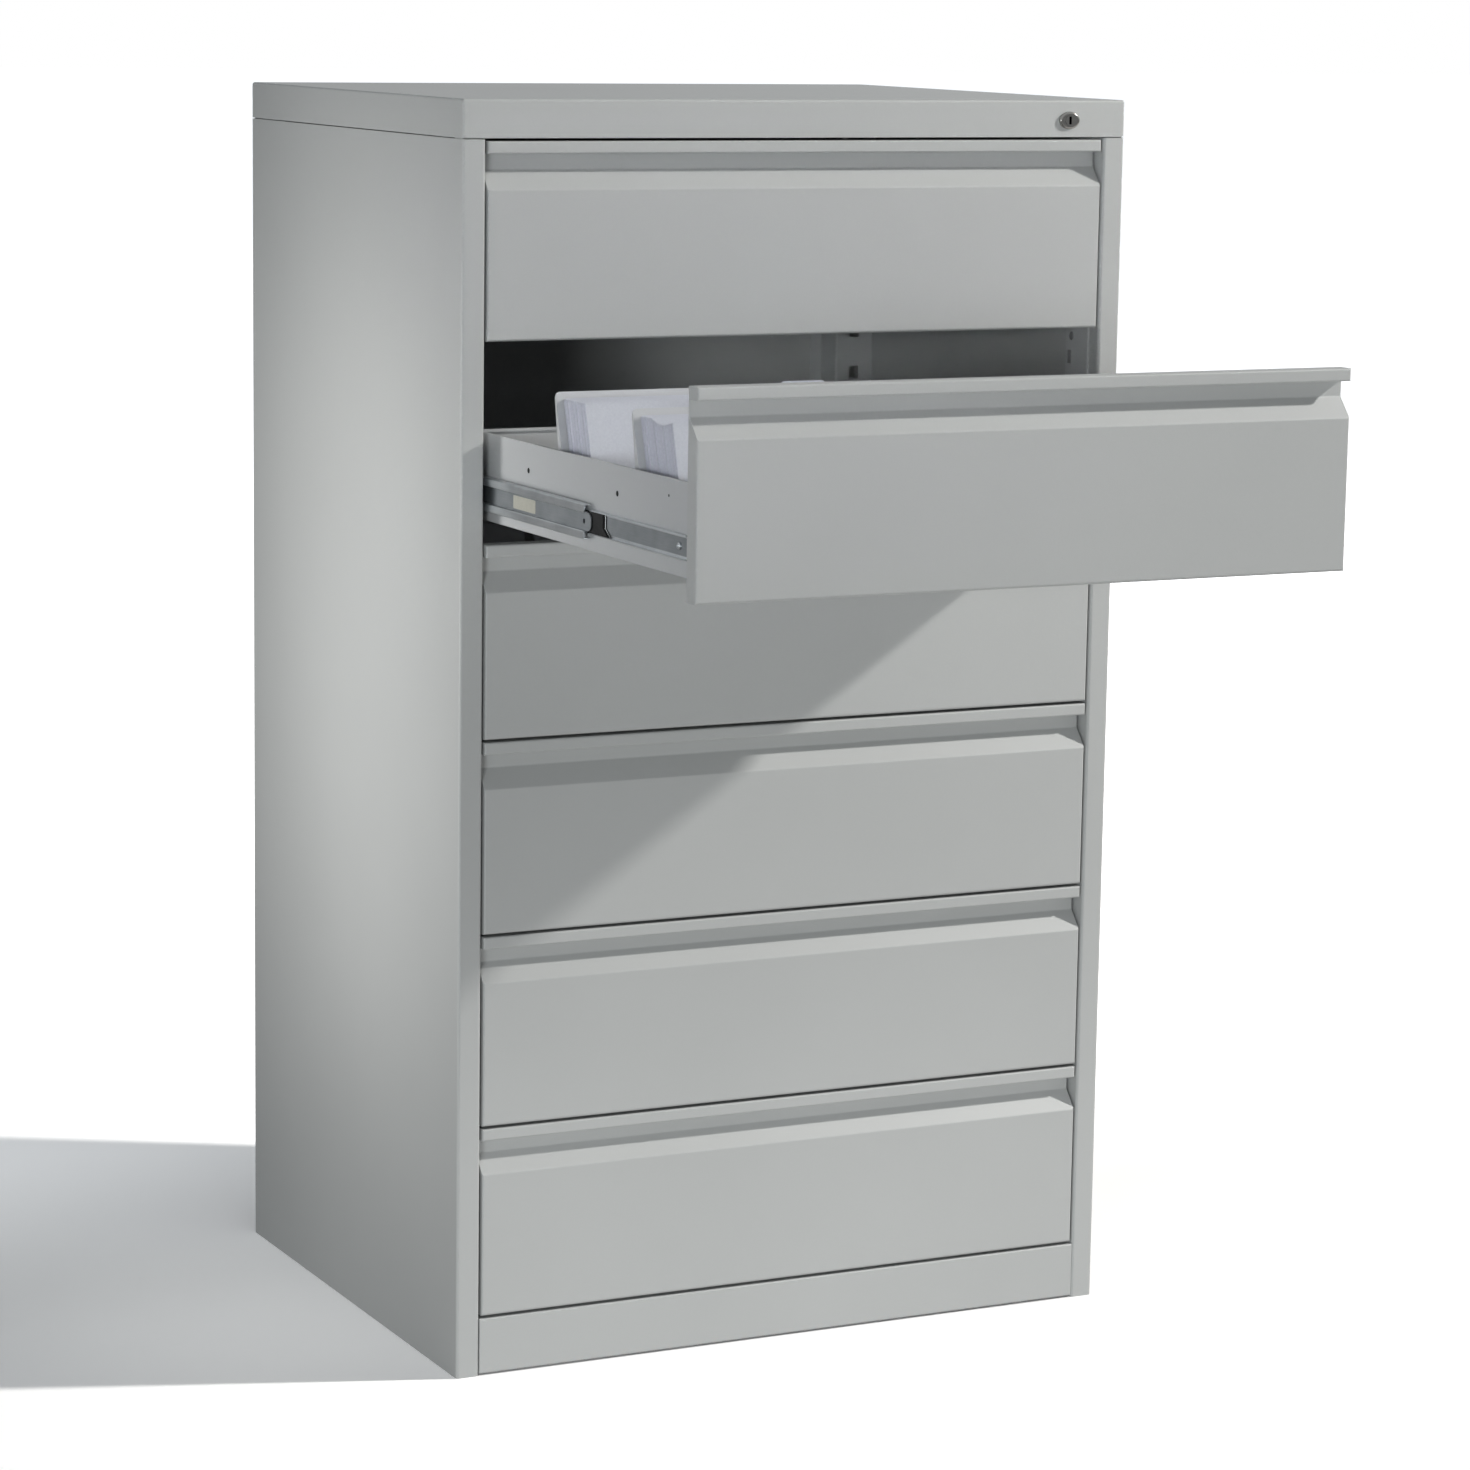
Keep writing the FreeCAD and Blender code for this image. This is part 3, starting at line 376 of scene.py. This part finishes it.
def piece(name, shape, body, materials, smooth_angle=35.0):
    """Object from a bmesh that rides on a body and wears the given materials."""
    mesh = bpy.data.meshes.new(name)
    shape.to_mesh(mesh)
    shape.free()
    for material in materials:
        mesh.materials.append(material)
    mesh.polygons.foreach_set("use_smooth", [True] * len(mesh.polygons))
    mesh.set_sharp_from_angle(angle=math.radians(smooth_angle))
    made = bpy.data.objects.new(name, mesh)
    scene.collection.objects.link(made)
    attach(made, body)
    return made


def wobble(index, seed):
    """Fixed unevenness between -1 and 1 for one card of a stack."""
    return math.sin(index * 12.9898 + seed * 78.233) * math.cos(index * 4.1414 + seed * 9.17)


def island_corners(node):
    """Corner points of each separate solid of a CAD node, from left to right and front to back."""
    copy = bmesh.new()
    copy.from_mesh(nodes[node].data)
    bmesh.ops.remove_doubles(copy, verts=copy.verts, dist=1e-5)
    left = set(copy.verts)
    islands = []
    while left:
        wave = [left.pop()]
        island = list(wave)
        while wave:
            near = {edge.other_vert(vert) for vert in wave for edge in vert.link_edges} & left
            left -= near
            island += near
            wave = list(near)
        islands.append([vert.co.copy() for vert in island])
    copy.free()
    return sorted(islands, key=lambda points: (round(min(p.x for p in points), 3), min(p.y for p in points)))


def card_outline(shape, width, height):
    """Flat card with rounded upper corners, lying in the XZ plane on its lower edge."""
    made = bmesh.ops.create_grid(shape, x_segments=1, y_segments=1, size=0.5)
    verts = made["verts"]
    turn = Matrix.Rotation(math.pi / 2, 4, "X")
    bmesh.ops.transform(shape, verts=verts, matrix=turn @ Matrix.Diagonal((width, height, 1.0, 1.0)))
    bmesh.ops.translate(shape, verts=verts, vec=(0, 0, height / 2))
    upper = [vert for vert in verts if vert.co.z > height / 2]
    bmesh.ops.bevel(shape, geom=upper, offset=card_corner, offset_type="OFFSET", segments=3, profile=0.5,
                    affect="VERTICES", material=-1)


def one_card(width, height):
    """Card of its real thickness, face to the front, its cut edges in the second material."""
    shape = bmesh.new()
    card_outline(shape, width, height)
    sheet = bmesh.ops.extrude_face_region(shape, geom=shape.faces[:])
    back = [item for item in sheet["geom"] if isinstance(item, bmesh.types.BMVert)]
    bmesh.ops.translate(shape, verts=back, vec=(0, card_thickness, 0))
    bmesh.ops.recalc_face_normals(shape, faces=shape.faces[:])
    for face in shape.faces:
        face.material_index = 0 if abs(face.normal.y) > 0.9 else 1
    mesh = bpy.data.meshes.new("card")
    shape.to_mesh(mesh)
    shape.free()
    return mesh


def card_stacks():
    """Single cards in the place of each solid stack, leaning back with it. Cards have sunk in the middle of
    the front stack, and a guide card's tab stands up from the middle lane."""
    shape = bmesh.new()
    for seed, corners in enumerate(island_corners("drawer_2_card_stacks")):
        low = min(p.z for p in corners)
        high = max(p.z for p in corners)
        left = min(p.x for p in corners)
        right = max(p.x for p in corners)
        feet = sorted(p.y for p in corners if p.z < low + stack_end)
        heads = sorted(p.y for p in corners if p.z > high - stack_end)
        lean = math.atan2(heads[-1] - feet[-1], high - low)
        length = math.hypot(heads[-1] - feet[-1], high - low)
        run = feet[-1] - feet[0]
        count = max(fewest_cards, int(run * math.cos(lean) / card_pitch))
        for i in range(count):
            share = i / count
            drop = card_drop + card_drop * abs(wobble(i, seed))
            if seed == front_stack and sunken_from < share < sunken_to:
                sunken = (share - sunken_from) / (sunken_to - sunken_from)
                drop += sunken_depth * math.sin(sunken * math.pi)
            card = one_card(right - left - card_play, length - drop)
            place = Matrix.Translation(((left + right) / 2 + card_sway * wobble(i, seed + 7),
                                        feet[0] + (i + card_lead) * (run - card_thickness) / count, low))
            card.transform(place @ Matrix.Rotation(-lean, 4, "X"))
            shape.from_mesh(card)
            bpy.data.meshes.remove(card)
        if seed == middle_stack:
            guide = one_card(guide_tab[1] - guide_tab[0], length + guide_rise)
            place = Matrix.Translation(((guide_tab[0] + guide_tab[1]) / 2, feet[-1] - guide_inset, low))
            guide.transform(place @ Matrix.Rotation(-lean, 4, "X"))
            shape.from_mesh(guide)
            bpy.data.meshes.remove(guide)
    stacks = piece("index_cards", shape, "plates_2", [finishes["card_paper"], card_edge])
    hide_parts("drawer_2_card_stacks")


def side_plate(shape, outline, thickness, material):
    """Plate of a (y, z) outline from x = 0 outwards, with softened rims."""
    verts = [shape.verts.new((0, y, z)) for y, z in outline]
    face = shape.faces.new(verts)
    sheet = bmesh.ops.extrude_face_region(shape, geom=[face])
    outer = [item for item in sheet["geom"] if isinstance(item, bmesh.types.BMVert)]
    bmesh.ops.translate(shape, verts=outer, vec=(thickness, 0, 0))
    plate = {face for vert in verts + outer for face in vert.link_faces}
    rims = {edge for vert in outer for edge in vert.link_edges if edge.other_vert(vert) in outer}
    made = bmesh.ops.bevel(shape, geom=list(rims), offset=plate_rim, offset_type="OFFSET", segments=2,
                           profile=0.5, affect="EDGES", material=-1)
    for face in [face for face in plate if face.is_valid] + made["faces"]:
        face.material_index = material


def release_lever(number, side):
    """Black lever in the inner member's channel that frees the drawer from its slide, and in front of it the
    bright edge of the cut-out that it lies in."""
    low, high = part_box("drawer_%d_slide_inners" % number)
    shape = bmesh.new()
    front = [(0.0, lever_half), (0.0, -lever_step), (-lever_slant, -lever_half)]
    rear = [(lever_length, -lever_half), (lever_length, lever_half)]
    side_plate(shape, front + rear, lever_thickness, 0)
    edge = [(y - lever_rim, z) for y, z in reversed(front)]
    side_plate(shape, front + edge, lever_rim_thickness, 1)
    place = Matrix.Translation((tray_side + inner_web + lever_play, low.y + lever_setback,
                                (low.z + high.z) / 2))
    if side < 0:
        place = Matrix.Scale(-1, 4, (1, 0, 0)) @ place
    bmesh.ops.transform(shape, verts=shape.verts[:], matrix=place)
    bmesh.ops.recalc_face_normals(shape, faces=shape.faces[:])
    name = "drawer_%d_release_lever_%s" % (number, "left" if side < 0 else "right")
    piece(name, shape, "drawer_%d" % number,
          [finishes["guide_plastic"], finishes["plated_steel"]])


def blank_sticker(number, side):
    """Plain paper sticker on the web of the middle member."""
    low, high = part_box("drawer_%d_slide_middles" % number)
    shape = bmesh.new()
    made = bmesh.ops.create_grid(shape, x_segments=1, y_segments=1, size=0.5)
    turn = Matrix.Rotation(math.pi / 2, 4, "Y")
    bmesh.ops.transform(shape, verts=made["verts"],
                        matrix=turn @ Matrix.Diagonal((sticker_height, sticker_length, 1.0, 1.0)))
    bmesh.ops.bevel(shape, geom=shape.verts[:], offset=sticker_corner, offset_type="OFFSET", segments=3,
                    profile=0.5, affect="VERTICES", material=-1)
    sheet = bmesh.ops.extrude_face_region(shape, geom=shape.faces[:])
    outer = [item for item in sheet["geom"] if isinstance(item, bmesh.types.BMVert)]
    bmesh.ops.translate(shape, verts=outer, vec=(sticker_thickness, 0, 0))
    place = Matrix.Translation((tray_side + middle_web_face, low.y + sticker_setback, (low.z + high.z) / 2))
    if side < 0:
        place = Matrix.Scale(-1, 4, (1, 0, 0)) @ place
    bmesh.ops.transform(shape, verts=shape.verts[:], matrix=place)
    bmesh.ops.recalc_face_normals(shape, faces=shape.faces[:])
    name = "drawer_%d_slide_sticker_%s" % (number, "left" if side < 0 else "right")
    piece(name, shape, "slides_%d" % number, [sticker_paper])


def hole_shade_discs(number):
    """Black discs in the holes of the tray's sides, as painted shade where the open holes look dark: discs
    with a dish in the outer face.
    """
    low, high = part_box("drawer_%d_tray" % number)
    shape = bmesh.new()
    # Painted shade: a black disc fills each hole in place of the shade seen in it
    for setback, drop, radius in tray_holes:
        for side in (-1, 1):
            rim = bmesh.ops.create_circle(shape, cap_ends=True, segments=shade_disc_segments,
                                          radius=radius - shade_disc_play)["verts"]
            disc = bmesh.ops.extrude_face_region(shape, geom=list({f for v in rim for f in v.link_faces}))
            top = [item for item in disc["geom"] if isinstance(item, bmesh.types.BMVert)]
            crown = [item for item in disc["geom"] if isinstance(item, bmesh.types.BMFace)]
            bmesh.ops.translate(shape, verts=top, vec=(0, 0, tray_sheet))
            bmesh.ops.inset_individual(shape, faces=crown, thickness=shade_disc_rim_share * radius, depth=0.0)
            bmesh.ops.inset_individual(shape, faces=crown, thickness=shade_disc_slope_share * radius,
                                       depth=-shade_disc_dish)
            turn = Matrix.Rotation(side * math.pi / 2, 4, "Y")
            seat = (side * (tray_side - tray_sheet), low.y + setback, high.z - drop)
            shade_disc_verts = {v for f in crown for v in f.verts}
            wave = set(shade_disc_verts)
            while wave:
                wave = {e.other_vert(v) for v in wave for e in v.link_edges} - shade_disc_verts
                shade_disc_verts |= wave
            bmesh.ops.transform(shape, verts=list(shade_disc_verts), matrix=Matrix.Translation(seat) @ turn)
    bmesh.ops.recalc_face_normals(shape, faces=shape.faces[:])
    piece("drawer_%d_hole_plugs" % number, shape, "drawer_%d" % number,
          [finishes["guide_plastic"]])


sticker_paper = card_stock("sticker_paper_cream", "#B9B8AD", "#AFAEA3")
card_stacks()
for number in drawers:
    hole_shade_discs(number)
    for side in (-1, 1):
        release_lever(number, side)
        blank_sticker(number, side)


def white_floor():
    """Pale matt floor that takes the cabinet's shadow."""
    shape = bmesh.new()
    bmesh.ops.create_grid(shape, x_segments=1, y_segments=1, size=floor_half)
    mesh = bpy.data.meshes.new("studio_floor")
    shape.to_mesh(mesh)
    shape.free()
    material = bpy.data.materials.new("studio_floor_white")
    material.use_nodes = True
    tree = material.node_tree
    tree.nodes.clear()
    # The floor bounces light as matt white paint. It is shown brighter, and more so behind the cabinet and
    # far away, where the lamps give less, so that all of its lit part is just white.
    path = add(tree, "ShaderNodeLightPath")
    place = add(tree, "ShaderNodeTexCoord")
    step = add(tree, "ShaderNodeVectorMath", {"operation": "SUBTRACT", 1: floor_middle},
               [(0, place, "Object")])
    away = add(tree, "ShaderNodeVectorMath", {"operation": "DOT_PRODUCT"},
               [(0, step, "Vector"), (1, step, "Vector")])
    spot = add(tree, "ShaderNodeSeparateXYZ", links=[("Vector", place, "Object")])
    near = add(tree, "ShaderNodeMapRange",
               {"interpolation_type": "SMOOTHSTEP", "From Min": floor_turn[0], "From Max": floor_turn[1],
                "To Min": floor_shade[0], "To Max": floor_shade[1]}, [("Value", spot, "Y")])
    shown = add(tree, "ShaderNodeMath", {"operation": "MULTIPLY_ADD", 1: floor_growth},
                [(0, away, "Value"), (2, near, "Result")])
    shown = add(tree, "ShaderNodeMath", {"operation": "MINIMUM", 1: floor_most}, [(0, shown, "Value")])
    shade = add(tree, "ShaderNodeMapRange", {"To Min": floor_bounce},
                [("Value", path, "Is Camera Ray"), ("To Max", shown, "Value")])
    matt = add(tree, "ShaderNodeBsdfDiffuse", links=[("Color", shade, "Result")])
    add(tree, "ShaderNodeOutputMaterial", links=[("Surface", matt, "BSDF")])
    mesh.materials.append(material)
    floor = bpy.data.objects.new("studio_floor", mesh)
    scene.collection.objects.link(floor)


def lamp(name, kind, place, aim, settings):
    """Lamp at a place, turned to a point and unseen by the camera."""
    data = bpy.data.lights.new(name, kind)
    for key, value in settings.items():
        setattr(data, key, value)
    made = bpy.data.objects.new(name, data)
    towards = Vector(aim) - Vector(place)
    made.matrix_world = Matrix.Translation(place) @ towards.to_track_quat("-Z", "Y").to_matrix().to_4x4()
    made.visible_camera = False
    scene.collection.objects.link(made)


def soft_box(name, place, aim, watts, size, spread=180, colour=plain_white):
    """Rectangular lamp of a width and height in metres, whose beam spreads by this many degrees."""
    lamp(name, "AREA", place, aim,
         {"energy": watts, "color": colour, "shape": "RECTANGLE", "size": size[0], "size_y": size[1],
          "spread": math.radians(spread)})


def studio():
    """White world for the camera, grey in mirror reflections, and dimmer and faintly blue as a source of
    light; a key lamp at the right, soft boxes at the left and behind, and three in front: a far one, one on
    the upper drawers and one on the plinth."""
    world = bpy.data.worlds.new("studio")
    scene.world = world
    world.use_nodes = True
    tree = world.node_tree
    tree.nodes.clear()
    path = add(tree, "ShaderNodeLightPath")
    seen = add(tree, "ShaderNodeMath", {"operation": "MAXIMUM"},
               [(0, path, "Is Camera Ray"), (1, path, "Is Transmission Ray")])
    level = add(tree, "ShaderNodeMapRange", {"To Min": world_light, "To Max": world_white},
                [("Value", seen, "Value")])
    level = add(tree, "ShaderNodeMath", {"operation": "MULTIPLY_ADD", 1: world_mirror},
                [(0, path, "Is Glossy Ray"), (2, level, "Result")])
    tint = add(tree, "ShaderNodeMix", {"data_type": "RGBA", 6: srgb("#F7FBFF"), 7: srgb("#FFFFFF")},
               [(0, seen, "Value")])
    light = add(tree, "ShaderNodeBackground", links=[("Color", tint, 2), ("Strength", level, "Value")])
    add(tree, "ShaderNodeOutputWorld", links=[("Surface", light, "Background")])
    white_floor()
    lamp("key_lamp", "POINT", (4.1, -1.89, 3.44), (0, 0, 0),
         {"energy": 1000.0, "shadow_soft_size": 0.11, "color": key_white})
    soft_box("left_softbox", (-1.2, 0.06, 0.79), (-0.39, -0.06, 0.77), watts=1.95, size=(0.30, 0.85),
             spread=90, colour=warm_white)
    soft_box("front_softbox", (-5.6, -7.2, 1.25), (0.0, 0.0, 1.0), watts=240.0, size=(2.0, 1.6),
             colour=cool_white)
    soft_box("upper_softbox", (-3.6, -4.6, 1.55), (0.0, -0.25, 1.17), watts=0.24, size=(0.8, 0.4),
             spread=10, colour=cool_white)
    soft_box("low_softbox", (-0.6, -2.6, 0.30), (-0.2, -0.31, 0.02), watts=0.7, size=(1.6, 0.25), spread=30)
    soft_box("rear_softbox", (0.1, 2.9, 0.86), (0.06, 0.31, 0.84), watts=0.6, size=(0.85, 1.1), spread=12)


def camera():
    """Camera of the photograph, fitted to the cabinet's corners."""
    data = bpy.data.cameras.new("camera")
    data.sensor_width = camera_sensor
    data.lens = camera_lens
    made = bpy.data.objects.new("camera", data)
    scene.collection.objects.link(made)
    yaw, pitch, roll = (math.radians(angle) for angle in camera_turn)
    turn = Matrix.Rotation(-yaw, 4, "Z") @ Matrix.Rotation(math.pi / 2 + pitch, 4, "X")
    turn = turn @ Matrix.Rotation(roll, 4, "Z")
    made.matrix_world = Matrix.Translation(camera_place) @ turn
    scene.camera = made


studio()
camera()
